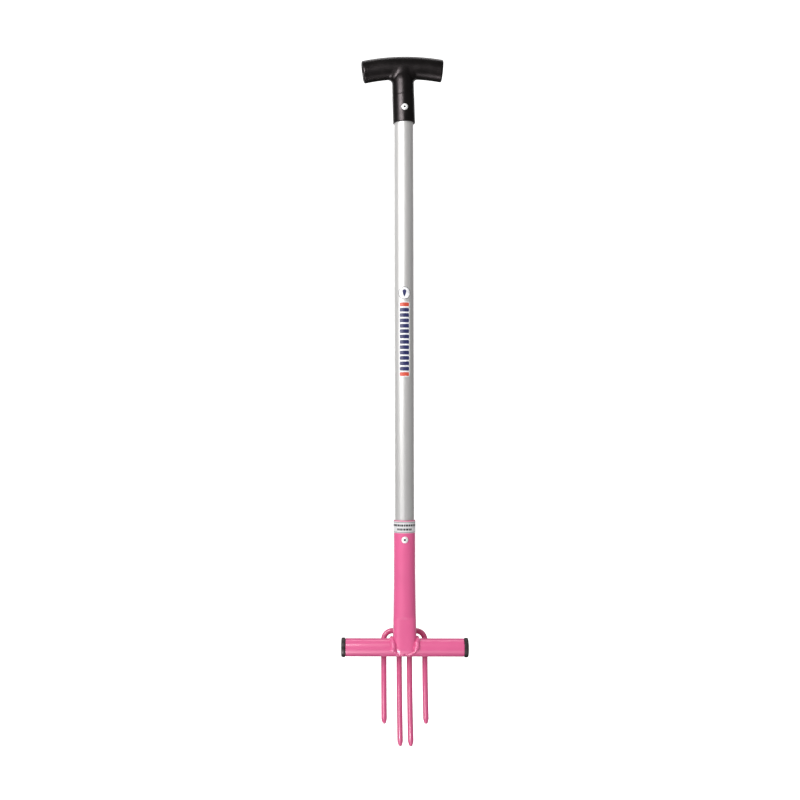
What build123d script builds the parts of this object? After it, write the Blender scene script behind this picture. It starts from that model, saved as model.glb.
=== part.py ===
"""Lawn aerator fork with a T-handle, a foot bar and four tines, in millimetres.

+Z runs up the shaft, +X along the foot bar and -Y is the front, the side that the rivets are on.
The origin is where the shaft's axis crosses the foot bar's axis.
"""
import os
from math import asin, cos, degrees, pi, radians, sin, tan

from build123d import *

# ---------------------------------------------------------------- driving dimensions
FOOT_BAR_DIAMETER = 26.0
FOOT_BAR_LENGTH = 171.0
FOOT_BAR_WALL = 1.5

CAP_DIAMETER = 28.0
CAP_FLANGE = 6.6
CAP_RIM_ROUNDING = 3.2
CAP_INSERT = 14.0
CAP_INSERT_CLEARANCE = 0.4
CAP_WALL = 2.0
CAP_FACE = 5.1
CAP_RIBS = 4
CAP_RIB_WIDTH = 0.8
CAP_RIB_FIRST = 2.0
CAP_RIB_PITCH = 3.0

SOCKET_DIAMETER = 31.6
SOCKET_WALL = 1.5
SOCKET_TOP = 184.0
SOCKET_ROUND_FROM = 100.0
SOCKET_FLAT_FROM = 17.0
SOCKET_FLAT_WIDTH = 33.8
OVAL_POWER = 3.1
LIP_DROP = 7.5
LIP_TOP_WIDTH = 30.4
LIP_CORNER = 5.0

SHAFT_DIAMETER = 28.4
SHAFT_WALL = 1.4
SHAFT_BOTTOM = 104.0
SHAFT_TOP = 824.0

HANDLE_TWIST = 3.0
HANDLE_TILT = 1.6
GRIP_HEIGHT = 32.8
GRIP_DEPTH = 27.0
GRIP_AXIS_TOP = 848.8
GRIP_ARC_RADIUS = 305.0
GRIP_ARC_HALF_ANGLE = 13.0
GRIP_TOP_LENGTH = 121.6
GRIP_END_SLANT = 6.6
GRIP_WALL = 2.6
GRIP_CORE_STOP_ANGLE = 4.6
GRIP_WEB = 2.4
GRIP_WEB_DROP = 5.0
STEM_DOME_START = 826.5
STEM_DOME_HEIGHT = 24.0
STEM_DIAMETER = 32.6
STEM_BOTTOM = 766.5
STEM_GUSSET = 7.0
GUSSET_DEPTH = 20.0

RIVET_HEAD_DIAMETER = 9.8
RIVET_HEAD_HEIGHT = 1.7
RIVET_SHANK_DIAMETER = 4.8
RIVET_BULB_DIAMETER = 6.6
RIVET_BULB_LENGTH = 3.4
RIVET_BULB_GAP = 0.4
RIVET_HEAD_BED = 2.0
RIVET_SHANK_SINK = 0.6
MANDREL_DIAMETER = 2.4
MANDREL_SINK = 1.0
MANDREL_BALL_DIAMETER = 4.6
MANDREL_BALL_LENGTH = 2.2
HANDLE_RIVET_HEIGHT = 786.5
SOCKET_RIVET_HEIGHT = 156.3

ROD_DIAMETER = 8.0
BOW_LEAN = 6.0
BOW_BEND_START = -18.0
BOW_BEND_RADIUS = 250.0
OUTER_BOW_SPACING = 60.0
OUTER_BOW_TOP = 22.6
OUTER_BOW_CORNER = 12.5
OUTER_TIP_DROP = 107.8
INNER_BOW_SPACING = 15.0
INNER_BOW_TOP = 7.5
INNER_TIP_DROP = 137.1
TIP_LENGTH = 7.5
TIP_DIAMETER = 4.4

LABEL_BOTTOM = 166.0
LABEL_TOP = 182.6
LABEL_THICKNESS = 0.25
DECAL_BOTTOM = 387.0
DECAL_TOP = 524.0
DECAL_THICKNESS = 0.15
DECAL_ARC = 100.0

WELD_LEG = 2.2
SOCKET_WELD_BACK = 9.0
LEG_WELD_RADIUS = 6.6
OUTER_WELD_HEIGHT = 8.0
INNER_WELD_HEIGHT = -9.0
ARCH_WELD_DIAMETER = 12.6
ARCH_WELD_LENGTH = 18.0
FIT_GAP = 0.1
CONTACT_GAP = 0.02
WALL_CLEARANCE = 0.1
PAST = 1.0
FAR = 200.0

# ---------------------------------------------------------------- worked-out sizes
bar_radius = FOOT_BAR_DIAMETER / 2
rod_radius = ROD_DIAMETER / 2
socket_radius = SOCKET_DIAMETER / 2
shaft_radius = SHAFT_DIAMETER / 2
stem_radius = STEM_DIAMETER / 2
lip_inner = bar_radius + CONTACT_GAP
lip_outer = lip_inner + SOCKET_WALL
wall_outer = lip_outer + WALL_CLEARANCE
outer_bow_offset = bar_radius + rod_radius + CONTACT_GAP
inner_bow_offset = wall_outer + rod_radius + CONTACT_GAP


def rod_along_x(diameter, start, end):
    """A round bar lying on the X axis between two x values."""
    bar = Cylinder(diameter / 2, end - start, rotation=(0, 90, 0))
    return Pos((start + end) / 2, 0, 0) * bar


def upright(diameter, bottom, top):
    """A round bar standing on the Z axis between two heights."""
    return Pos(0, 0, (bottom + top) / 2) * Cylinder(diameter / 2, top - bottom)


def tube(outer, inner, bottom, top):
    return upright(outer, bottom, top) - upright(inner, bottom - PAST, top + PAST)


# ---------------------------------------------------------------- shaft and foot bar
def make_shaft():
    return tube(SHAFT_DIAMETER, SHAFT_DIAMETER - 2 * SHAFT_WALL, SHAFT_BOTTOM, SHAFT_TOP)


def make_foot_bar():
    half = FOOT_BAR_LENGTH / 2
    bore = FOOT_BAR_DIAMETER - 2 * FOOT_BAR_WALL
    return rod_along_x(FOOT_BAR_DIAMETER, -half, half) - rod_along_x(bore, -half - PAST, half + PAST)


def make_end_cap(side):
    """A moulded plug: a domed flange outside the tube and a ribbed hollow insert inside it."""
    tube_end = FOOT_BAR_LENGTH / 2
    bore = FOOT_BAR_DIAMETER - 2 * FOOT_BAR_WALL
    insert = bore - 2 * CAP_INSERT_CLEARANCE
    cap = rod_along_x(CAP_DIAMETER, tube_end, tube_end + CAP_FLANGE)
    rim = cap.edges().filter_by(GeomType.CIRCLE).sort_by(Axis.X)[-1]
    cap = fillet(rim, CAP_RIM_ROUNDING)
    cap += rod_along_x(insert, tube_end - CAP_INSERT, tube_end)
    for rib in range(CAP_RIBS):
        rib_end = tube_end - CAP_RIB_FIRST - CAP_RIB_PITCH * rib
        cap += rod_along_x(bore - 2 * CONTACT_GAP, rib_end - CAP_RIB_WIDTH, rib_end)
    hollow_end = tube_end + CAP_FLANGE - CAP_FACE
    cap -= rod_along_x(insert - 2 * CAP_WALL, tube_end - CAP_INSERT - PAST, hollow_end)
    return cap if side > 0 else mirror(cap, about=Plane.YZ)


# ---------------------------------------------------------------- socket tube
def oval_face(width, depth, power, height):
    """A superellipse: power 2 is an ellipse, and a higher power is squarer."""
    count = 28
    points = []
    for step in range(count):
        angle = 2 * pi * step / count
        across = abs(cos(angle)) ** (2 / power) * (1 if cos(angle) > 0 else -1)
        along = abs(sin(angle)) ** (2 / power) * (1 if sin(angle) > 0 else -1)
        points.append(Vector(width / 2 * across, depth / 2 * along, height))
    return make_face(Spline(*points, periodic=True))


def flattened_end(inset):
    """The tube's lower end, pressed from round into an oval that takes the foot bar."""
    sections = []
    steps = 4
    for step in range(steps + 1):
        share = step / steps
        ease = share * share * (3 - 2 * share)
        width = SOCKET_DIAMETER + (SOCKET_FLAT_WIDTH - SOCKET_DIAMETER) * ease
        depth = SOCKET_DIAMETER + (2 * wall_outer - SOCKET_DIAMETER) * ease
        height = SOCKET_ROUND_FROM + (SOCKET_FLAT_FROM - SOCKET_ROUND_FROM) * share
        power = 2 + (OVAL_POWER - 2) * ease
        sections.append(oval_face(width - 2 * inset, depth - 2 * inset, power, height))
    pressed = loft(sections)
    return pressed + extrude(sections[-1], SOCKET_FLAT_FROM, dir=(0, 0, -1))


def lip_outline():
    """The U-shaped outline of a lip, as a prism through the tube from front to back."""
    height = 2 * LIP_DROP
    outline = RectangleRounded(LIP_TOP_WIDTH, height, LIP_CORNER)
    return extrude(Plane.XZ * outline, 2 * SOCKET_DIAMETER, both=True)


def below_axis():
    """All the space under the foot bar's axis."""
    return Pos(0, 0, -FAR / 2) * Box(FAR, FAR, FAR)


def make_socket_tube():
    """Round at the top, pressed flat below, and coped over the foot bar, front and back."""
    socket = tube(SOCKET_DIAMETER, SOCKET_DIAMETER - 2 * SOCKET_WALL, SOCKET_ROUND_FROM, SOCKET_TOP)
    socket += flattened_end(CONTACT_GAP) - flattened_end(SOCKET_WALL - CONTACT_GAP)
    socket -= rod_along_x(2 * lip_inner, -SOCKET_DIAMETER, SOCKET_DIAMETER)
    ring = rod_along_x(2 * lip_outer, -SOCKET_DIAMETER, SOCKET_DIAMETER)
    ring -= rod_along_x(2 * lip_inner, -SOCKET_DIAMETER - PAST, SOCKET_DIAMETER + PAST)
    socket += ring & below_axis() & lip_outline()
    return socket - rivet_hole(SOCKET_RIVET_HEIGHT)


# ---------------------------------------------------------------- tine bows
def leg_bend(across, offset, angle):
    """The gentle forward bend of one leg, a slice of a ring lying across the X axis."""
    origin = (across, offset - BOW_BEND_RADIUS, BOW_BEND_START)
    centre = Plane(origin=origin, x_dir=(0, 1, 0), z_dir=(-1, 0, 0))
    return centre * Torus(BOW_BEND_RADIUS, rod_radius, major_angle=angle, align=None)


def leg_tip(across, offset, angle):
    """The forged point of one leg, narrowing to a blunt end."""
    turn = radians(angle)
    forward = BOW_BEND_RADIUS * (1 - cos(turn))
    end = (across, offset - forward, BOW_BEND_START - BOW_BEND_RADIUS * sin(turn))
    plane = Plane(origin=end, z_dir=(0, -sin(turn), -cos(turn)))
    return plane * Pos(0, 0, TIP_LENGTH / 2) * Cone(rod_radius, TIP_DIAMETER / 2, TIP_LENGTH)


def arch_corner(side, half, offset, top, corner):
    """The quarter bend between a leg and the top of the arch."""
    origin = (side * (half - corner), offset, top - corner)
    centre = Plane(origin=origin, x_dir=(side, 0, 0), z_dir=(0, -side, 0))
    return centre * Torus(corner, rod_radius, major_angle=90, align=None)


def make_bow(half, top, corner, tip_drop, offset):
    """One rod bent into an arch whose two legs are tines that curve gently to the front."""
    angle = degrees(asin((tip_drop - TIP_LENGTH + BOW_BEND_START) / BOW_BEND_RADIUS))
    bow = Part()
    for side in (-1, 1):
        across = side * half
        bow += Pos(across, offset, 0) * upright(ROD_DIAMETER, BOW_BEND_START, top - corner)
        bow += leg_bend(across, offset, angle)
        bow += leg_tip(across, offset, angle)
        bow += arch_corner(side, half, offset, top, corner)
    if half > corner:
        bow += Pos(0, offset, top) * rod_along_x(ROD_DIAMETER, corner - half, half - corner)
    return Rot(-BOW_LEAN, 0, 0) * bow


# ---------------------------------------------------------------- handle
def grip_stretch(height, depth, from_angle, to_angle):
    """A length of the oval arched grip between two angles from its middle."""
    centre = Plane(
        origin=(0, 0, GRIP_AXIS_TOP - GRIP_ARC_RADIUS),
        x_dir=(sin(radians(to_angle)), 0, cos(radians(to_angle))),
        z_dir=(0, -1, 0),
    )
    sweep_angle = to_angle - from_angle
    ring = centre * Torus(GRIP_ARC_RADIUS, height / 2, major_angle=sweep_angle, align=None)
    return scale(ring, by=(1, depth / height, 1))


def between_grip_ends():
    """The space between the two slanted planes that the grip's ends lie in."""
    top_half = GRIP_TOP_LENGTH / 2
    slant = tan(radians(GRIP_END_SLANT))
    low, high = -2 * GRIP_HEIGHT, GRIP_HEIGHT
    wide, narrow = top_half + high * slant, top_half + low * slant
    outline = make_face(Polyline((-wide, high), (wide, high), (narrow, low), (-narrow, low), close=True))
    end_height = GRIP_AXIS_TOP + GRIP_HEIGHT / 2 - top_half**2 / (2 * GRIP_ARC_RADIUS)
    return Pos(0, 0, end_height) * extrude(Plane.XZ * outline, GRIP_DEPTH, both=True)


def grip_cores():
    """The two hollows that run in from the grip's ends, each split by a web."""
    height = GRIP_HEIGHT - 2 * GRIP_WALL
    depth = GRIP_DEPTH - 2 * GRIP_WALL
    web_outer = GRIP_ARC_RADIUS - GRIP_WEB_DROP + GRIP_WEB / 2
    web = Cylinder(web_outer, 2 * GRIP_DEPTH) - Cylinder(web_outer - GRIP_WEB, 2 * GRIP_DEPTH)
    web = Pos(0, 0, GRIP_AXIS_TOP - GRIP_ARC_RADIUS) * Rot(90, 0, 0) * web
    right = grip_stretch(height, depth, GRIP_CORE_STOP_ANGLE, GRIP_ARC_HALF_ANGLE + PAST)
    left = grip_stretch(height, depth, -GRIP_ARC_HALF_ANGLE - PAST, -GRIP_CORE_STOP_ANGLE)
    return [left - web, right - web]


def make_handle():
    """A moulded T-handle: an arched grip, cored from both ends, on a domed socket for the shaft."""
    grip = grip_stretch(GRIP_HEIGHT, GRIP_DEPTH, -GRIP_ARC_HALF_ANGLE, GRIP_ARC_HALF_ANGLE)
    handle = (grip & between_grip_ends()) + upright(STEM_DIAMETER, STEM_BOTTOM, STEM_DOME_START)
    dome = scale(Sphere(stem_radius), by=(1, 1, STEM_DOME_HEIGHT / stem_radius))
    handle += Pos(0, 0, STEM_DOME_START) * dome
    handle += stem_gussets()
    for core in grip_cores():
        handle -= core
    lean = Pos(0, 0, HANDLE_RIVET_HEIGHT) * Rot(0, -HANDLE_TILT, 0) * Pos(0, 0, -HANDLE_RIVET_HEIGHT)
    handle = lean * handle
    handle -= upright(SHAFT_DIAMETER + FIT_GAP, STEM_BOTTOM - 2 * PAST, SHAFT_TOP + FIT_GAP)
    handle -= rivet_hole(HANDLE_RIVET_HEIGHT)
    return Rot(0, 0, HANDLE_TWIST) * handle


def stem_gussets():
    """The hollow-cornered web under the grip on each side, where it runs into the stem."""
    under = GRIP_AXIS_TOP - GRIP_HEIGHT / 2
    reach = stem_radius + STEM_GUSSET
    height = STEM_GUSSET + 2 * PAST
    corner = Pos(0, 0, under - STEM_GUSSET + height / 2) * Box(2 * reach, GUSSET_DEPTH, height)
    for side in (-1, 1):
        scoop = Cylinder(STEM_GUSSET, 2 * GRIP_DEPTH, rotation=(90, 0, 0))
        corner -= Pos(side * reach, 0, under - STEM_GUSSET) * scoop
    return corner


# ---------------------------------------------------------------- rivets
def rod_along_front(diameter, start, end):
    """A round bar pointing out of the front, between two distances from the shaft's axis."""
    bar = Cylinder(diameter / 2, end - start, rotation=(90, 0, 0))
    return Pos(0, -(start + end) / 2, 0) * bar


def rivet_hole(height):
    diameter = RIVET_SHANK_DIAMETER + 2 * CONTACT_GAP
    return Pos(0, 0, height) * rod_along_front(diameter, shaft_radius / 2, 2 * socket_radius)


def make_rivet(height, seat_radius):
    """A blind rivet: a domed head bedded on a round wall, a hollow shank and its swelled bulb."""
    head_radius = RIVET_HEAD_DIAMETER / 2
    crown = seat_radius + RIVET_HEAD_HEIGHT
    dome_radius = (head_radius**2 + RIVET_HEAD_HEIGHT**2) / (2 * RIVET_HEAD_HEIGHT)
    head = rod_along_front(RIVET_HEAD_DIAMETER, seat_radius - RIVET_HEAD_BED, crown)
    head &= Pos(0, dome_radius - crown, 0) * Sphere(dome_radius)
    head -= upright(2 * (seat_radius + CONTACT_GAP), -head_radius - PAST, head_radius + PAST)
    wall_inside = shaft_radius - SHAFT_WALL
    inner_end = wall_inside - RIVET_BULB_LENGTH
    shank = rod_along_front(RIVET_SHANK_DIAMETER, inner_end, crown - RIVET_SHANK_SINK)
    bulb = rod_along_front(RIVET_BULB_DIAMETER, inner_end, wall_inside - RIVET_BULB_GAP)
    rivet = head + shank + bulb
    rivet -= rod_along_front(MANDREL_DIAMETER + 2 * CONTACT_GAP, 0, crown + PAST)
    return Pos(0, 0, height) * rivet


def make_mandrel(height, seat_radius):
    """The broken-off stem of the rivet, left in its shank with its ball at the inner end."""
    inner_end = shaft_radius - SHAFT_WALL - RIVET_BULB_LENGTH
    outer_end = seat_radius + RIVET_HEAD_HEIGHT - MANDREL_SINK
    stem = rod_along_front(MANDREL_DIAMETER, inner_end - PAST, outer_end)
    ball = rod_along_front(MANDREL_BALL_DIAMETER, inner_end - MANDREL_BALL_LENGTH, inner_end - CONTACT_GAP)
    return Pos(0, 0, height) * (stem + ball)


# ---------------------------------------------------------------- labels
def front_band(inner_radius, thickness, bottom, top, arc):
    """A thin sheet wrapped on the front of a tube, over an arc in degrees."""
    band = tube(2 * (inner_radius + thickness), 2 * inner_radius, bottom, top)
    if arc >= 360:
        return band
    reach = 4 * inner_radius
    edge = (reach * sin(radians(arc / 2)), -reach * cos(radians(arc / 2)))
    wedge = make_face(Polyline((0, 0), edge, (0, -3 * reach), (-edge[0], edge[1]), close=True))
    return band & Pos(0, 0, bottom - PAST) * extrude(wedge, top - bottom + 2 * PAST)


# ---------------------------------------------------------------- weld beads
def bar_skin(inner_radius, thickness, half_length):
    """The space just outside the foot bar, where weld metal lies."""
    ring = rod_along_x(2 * (inner_radius + thickness), -half_length, half_length)
    return ring - rod_along_x(2 * inner_radius, -half_length - PAST, half_length + PAST)


def make_socket_weld(side, socket):
    """The bead on one side, from the front lip round the tube's side to the top of the foot bar."""
    full_width = SOCKET_FLAT_WIDTH + 2 * WELD_LEG
    full_depth = 2 * (wall_outer + WELD_LEG)
    grown = oval_face(full_width, full_depth, OVAL_POWER, SOCKET_FLAT_FROM)
    collar = extrude(grown, SOCKET_FLAT_FROM, dir=(0, 0, -1))
    width = LIP_TOP_WIDTH + 2 * WELD_LEG
    around_lip = RectangleRounded(width, 2 * (LIP_DROP + WELD_LEG), LIP_CORNER + WELD_LEG)
    collar += extrude(Plane.XZ * around_lip, 2 * SOCKET_DIAMETER, both=True) & below_axis()
    reach = 2 * SOCKET_DIAMETER
    front_side = Pos(side * reach / 2, SOCKET_WELD_BACK - reach / 2, 0) * Box(reach, reach, reach)
    bead = (collar & bar_skin(lip_inner, WELD_LEG, SOCKET_DIAMETER) & front_side) - socket
    return bead.solids().sort_by(SortBy.VOLUME)[-1]


def make_leg_weld(half, height, skin_radius, bow):
    """A lump of weld on each leg of a bow, where it lies against the foot bar or the rear lip."""
    bead = Part()
    for side in (-1, 1):
        bead += Pos(side * half, skin_radius, height) * Sphere(LEG_WELD_RADIUS)
    length = half + 2 * LEG_WELD_RADIUS
    return bead - rod_along_x(2 * skin_radius, -length, length) - bow


def make_arch_weld(bow, socket):
    """The bead between the top of the outer bow and the flattened back of the socket tube."""
    centre = Pos(0, outer_bow_offset, OUTER_BOW_TOP)
    half = ARCH_WELD_LENGTH / 2
    tube_side = Pos(0, -ARCH_WELD_LENGTH / 2, 0) * Box(2 * FAR, ARCH_WELD_LENGTH, FAR)
    bead = rod_along_x(ARCH_WELD_DIAMETER, -half, half) & tube_side
    bead = Rot(-BOW_LEAN, 0, 0) * centre * bead
    return bead - bow - socket - flattened_end(SOCKET_WALL / 2)


# ---------------------------------------------------------------- assembly
def build_nodes():
    socket = make_socket_tube()
    outer_half = OUTER_BOW_SPACING / 2
    inner_half = INNER_BOW_SPACING / 2
    outer_bow = make_bow(outer_half, OUTER_BOW_TOP, OUTER_BOW_CORNER, OUTER_TIP_DROP, outer_bow_offset)
    inner_bow = make_bow(inner_half, INNER_BOW_TOP, inner_half, INNER_TIP_DROP, inner_bow_offset)
    twist = Rot(0, 0, HANDLE_TWIST)
    handle = make_handle()
    shaft = make_shaft() - rivet_hole(SOCKET_RIVET_HEIGHT) - twist * rivet_hole(HANDLE_RIVET_HEIGHT)
    return {
        "t_handle": handle,
        "handle_rivet": twist * make_rivet(HANDLE_RIVET_HEIGHT, stem_radius) - handle,
        "handle_rivet_mandrel": twist * make_mandrel(HANDLE_RIVET_HEIGHT, stem_radius),
        "shaft_tube": shaft,
        "shaft_decal": front_band(
            shaft_radius + CONTACT_GAP, DECAL_THICKNESS, DECAL_BOTTOM, DECAL_TOP, DECAL_ARC
        ),
        "socket_tube": socket,
        "socket_label": front_band(
            socket_radius + CONTACT_GAP, LABEL_THICKNESS, LABEL_BOTTOM, LABEL_TOP, 360
        ),
        "socket_rivet": make_rivet(SOCKET_RIVET_HEIGHT, socket_radius),
        "socket_rivet_mandrel": make_mandrel(SOCKET_RIVET_HEIGHT, socket_radius),
        "foot_bar": make_foot_bar(),
        "end_cap_left": make_end_cap(-1),
        "end_cap_right": make_end_cap(1),
        "outer_tine_bow": outer_bow,
        "inner_tine_bow": inner_bow,
        "socket_weld_left": make_socket_weld(-1, socket),
        "socket_weld_right": make_socket_weld(1, socket),
        "outer_tine_weld": make_leg_weld(outer_half, OUTER_WELD_HEIGHT, lip_inner, outer_bow),
        "inner_tine_weld": make_leg_weld(inner_half, INNER_WELD_HEIGHT, wall_outer, inner_bow),
        "arch_weld": make_arch_weld(outer_bow, socket),
    }


os.makedirs("parts", exist_ok=True)
for node, shape in build_nodes().items():
    export_step(shape, f"parts/{node}.step")
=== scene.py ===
"""Looks of the lawn aerator fork, in metres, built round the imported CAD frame."""
import math

import bmesh
import bpy
import numpy as np
from mathutils import Matrix, Vector


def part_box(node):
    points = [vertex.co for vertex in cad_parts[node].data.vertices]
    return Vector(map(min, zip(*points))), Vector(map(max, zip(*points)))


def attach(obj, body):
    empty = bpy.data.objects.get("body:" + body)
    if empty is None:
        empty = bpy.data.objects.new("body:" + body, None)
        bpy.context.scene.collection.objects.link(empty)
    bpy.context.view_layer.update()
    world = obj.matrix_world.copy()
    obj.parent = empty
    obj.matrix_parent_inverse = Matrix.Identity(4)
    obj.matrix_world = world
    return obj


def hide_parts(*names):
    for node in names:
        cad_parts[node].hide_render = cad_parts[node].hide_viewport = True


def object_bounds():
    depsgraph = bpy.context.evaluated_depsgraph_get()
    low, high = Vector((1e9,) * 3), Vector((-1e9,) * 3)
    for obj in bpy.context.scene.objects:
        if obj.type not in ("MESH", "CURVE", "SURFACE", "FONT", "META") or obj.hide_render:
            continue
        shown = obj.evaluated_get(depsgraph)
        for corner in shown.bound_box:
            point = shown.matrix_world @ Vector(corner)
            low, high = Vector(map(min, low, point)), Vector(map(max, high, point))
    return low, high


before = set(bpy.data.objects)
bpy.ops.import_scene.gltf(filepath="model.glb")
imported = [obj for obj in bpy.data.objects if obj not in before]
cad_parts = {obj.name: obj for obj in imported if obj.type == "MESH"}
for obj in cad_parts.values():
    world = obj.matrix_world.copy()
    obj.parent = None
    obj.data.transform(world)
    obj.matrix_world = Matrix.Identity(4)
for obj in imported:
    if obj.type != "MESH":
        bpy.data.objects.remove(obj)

cad_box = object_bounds()
MM = 0.001
ROUND = 2 * math.pi
BODY = "root"
TUBE_SEGMENTS = 128
FILM_GAP = 0.03 * MM


# ---------------------------------------------------------------- sizes, from the frame
def extent(node, axis):
    low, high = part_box(node)
    return low[axis], high[axis]


def width(node, axis):
    low, high = extent(node, axis)
    return high - low


def middle(node, axis):
    low, high = extent(node, axis)
    return (low + high) / 2


BAR_END = extent("foot_bar", 0)[1]
BAR_RADIUS = width("foot_bar", 2) / 2
CAP_RADIUS = width("end_cap_right", 2) / 2
CAP_END = extent("end_cap_right", 0)[1]
SHAFT_RADIUS = width("shaft_tube", 0) / 2
SHAFT_BOTTOM, SHAFT_TOP = extent("shaft_tube", 2)
SOCKET_TOP = extent("socket_tube", 2)[1]
SOCKET_RADIUS = width("socket_tube", 1) / 2
SOCKET_FLAT_WIDTH = width("socket_tube", 0)
LIP_DROP = -extent("socket_tube", 2)[0]
LABEL_BOTTOM, LABEL_TOP = extent("socket_label", 2)
LABEL_RADIUS = width("socket_label", 1) / 2
DECAL_TOP = extent("shaft_decal", 2)[1]
STEM_BOTTOM, GRIP_TOP = extent("t_handle", 2)
FLOOR = cad_box[0][2]

WALL = 1.5 * MM
ROD_RADIUS = 4 * MM
BOW_LEAN = math.radians(6)
BEND_START = -18 * MM
BEND_RADIUS = 250 * MM
TIP_LENGTH = 7.5 * MM
OUTER_TIP_DROP = 107.8 * MM
INNER_TIP_DROP = 137.1 * MM
TIP_RADIUS = 2.2 * MM

GRIP_ARC = 305 * MM
GRIP_HALF_HEIGHT = 16.4 * MM
GRIP_HALF_DEPTH = 13.5 * MM
GRIP_TOP_HALF = 60.8 * MM
GRIP_END_SLANT = math.radians(6.6)
STEM_RADIUS = 16.3 * MM
HANDLE_TWIST = math.radians(3)
HANDLE_TILT = math.radians(1.6)
HANDLE_RIVET_HEIGHT = 786.5 * MM


# ---------------------------------------------------------------- mesh helpers
def add_piece(name, vertices, faces, material, sharp=35):
    """A mesh object with smooth shading that breaks at edges sharper than a number of degrees."""
    mesh = bpy.data.meshes.new(name)
    mesh.from_pydata([tuple(v) for v in vertices], [], [tuple(f) for f in faces])
    tidy = bmesh.new()
    tidy.from_mesh(mesh)
    bmesh.ops.remove_doubles(tidy, verts=tidy.verts, dist=1e-7)
    bmesh.ops.recalc_face_normals(tidy, faces=tidy.faces)
    tidy.to_mesh(mesh)
    tidy.free()
    mesh.shade_smooth()
    mesh.set_sharp_from_angle(angle=math.radians(sharp))
    mesh.materials.append(material)
    piece = bpy.data.objects.new(name, mesh)
    bpy.context.scene.collection.objects.link(piece)
    return piece


def stand_for(piece, slot, *nodes):
    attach(piece, BODY)
    if nodes:
        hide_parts(*nodes)


def grid_faces(rows, columns, wrap_rows=False):
    """Quads between the points of a grid that is stored row by row, each row a closed ring."""
    faces = []
    for row in range(rows if wrap_rows else rows - 1):
        for column in range(columns):
            a = row * columns + column
            b = row * columns + (column + 1) % columns
            below = (row + 1) % rows * columns
            faces.append((a, b, below + (column + 1) % columns, below + column))
    return faces


def lathe(profile, segments=TUBE_SEGMENTS):
    """A turned shape about +Z. The profile is (radius, height) points, closed into a ring."""
    vertices = []
    for radius, height in profile:
        for step in range(segments):
            angle = ROUND * step / segments
            vertices.append((radius * math.cos(angle), radius * math.sin(angle), height))
    return vertices, grid_faces(len(profile), segments, wrap_rows=True)


def rounded_profile(corners, steps=6):
    """A closed outline with each (radius, height, rounding) corner turned into a small arc."""
    profile = []
    count = len(corners)
    for number, (x, y, rounding) in enumerate(corners):
        here = Vector((x, y))
        if rounding <= 0:
            profile.append((x, y))
            continue
        before = (Vector(corners[number - 1][:2]) - here).normalized()
        after = (Vector(corners[(number + 1) % count][:2]) - here).normalized()
        for step in range(steps + 1):
            t = step / steps
            start = here + before * rounding
            end = here + after * rounding
            point = start.lerp(here, t).lerp(here.lerp(end, t), t)
            profile.append((point.x, point.y))
    return profile


def turned(vertices, matrix):
    return [matrix @ Vector(v) for v in vertices]


ALONG_X = Matrix.Rotation(math.radians(90), 4, "Y")
TO_FRONT = Matrix.Rotation(math.radians(90), 4, "X")


def tube_profile(outer, inner, bottom, top, rounding=0.3 * MM):
    return rounded_profile(
        [(outer, bottom, rounding), (outer, top, rounding), (inner, top, rounding), (inner, bottom, rounding)]
    )


def sweep(points, radii, segments=40):
    """A round rod along a line of points, closed at both ends."""
    count = len(points)
    tangents = []
    for number in range(count):
        step = points[min(number + 1, count - 1)] - points[max(number - 1, 0)]
        tangents.append(step.normalized())
    side = tangents[0].orthogonal().normalized()
    vertices = []
    for number, centre in enumerate(points):
        if number:
            side = tangents[number - 1].rotation_difference(tangents[number]) @ side
        other = tangents[number].cross(side)
        for step in range(segments):
            angle = ROUND * step / segments
            spoke = side * math.cos(angle) + other * math.sin(angle)
            vertices.append(centre + spoke * radii[number])
    faces = grid_faces(count, segments)
    faces.append(tuple(range(segments)))
    last = (count - 1) * segments
    faces.append(tuple(range(last + segments - 1, last - 1, -1)))
    return vertices, faces


# ---------------------------------------------------------------- surfaces of a distance field
CELL_CORNERS = [(a, b, c) for a in (0, 1) for b in (0, 1) for c in (0, 1)]


def field_surface(field, low, high, step):
    """The closed surface where a distance field is zero, found on a grid and pulled exactly onto it."""
    axes = [np.arange(a, b + step, step) for a, b in zip(low, high)]
    values = field(*np.meshgrid(*axes, indexing="ij"))
    inside = values < 0
    shape = np.array(inside.shape) - 1
    total = np.zeros(shape, int)
    for a, b, c in CELL_CORNERS:
        total += inside[a : a + shape[0], b : b + shape[1], c : c + shape[2]]
    cells = np.argwhere((total > 0) & (total < 8))
    index = np.full(shape, -1)
    index[tuple(cells.T)] = np.arange(len(cells))
    places = np.zeros((len(cells), 3))
    hits = np.zeros((len(cells), 1))
    for corner in CELL_CORNERS:
        for axis in range(3):
            if corner[axis]:
                continue
            start = cells + corner
            end = start.copy()
            end[:, axis] += 1
            first = values[tuple(start.T)]
            second = values[tuple(end.T)]
            crosses = (first < 0) != (second < 0)
            share = np.where(crosses, first / np.where(crosses, first - second, 1), 0)
            point = start.astype(float)
            point[:, axis] += share
            places += point * crosses[:, None]
            hits += crosses[:, None]
    places = places / hits * step + np.array([axis[0] for axis in axes])
    for _ in range(4):
        places = pull_onto(field, places, step)
    faces = []
    for axis in range(3):
        u, v = (axis + 1) % 3, (axis + 2) % 3
        head = [slice(None)] * 3
        tail = [slice(None)] * 3
        head[axis], tail[axis] = slice(None, -1), slice(1, None)
        edges = np.argwhere(inside[tuple(head)] != inside[tuple(tail)])
        around = []
        for du, dv in ((-1, -1), (0, -1), (0, 0), (-1, 0)):
            cell = edges.copy()
            cell[:, u] += du
            cell[:, v] += dv
            around.append(index[tuple(cell.T)])
        faces.extend(np.stack(around, 1).tolist())
    return places, faces


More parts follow.
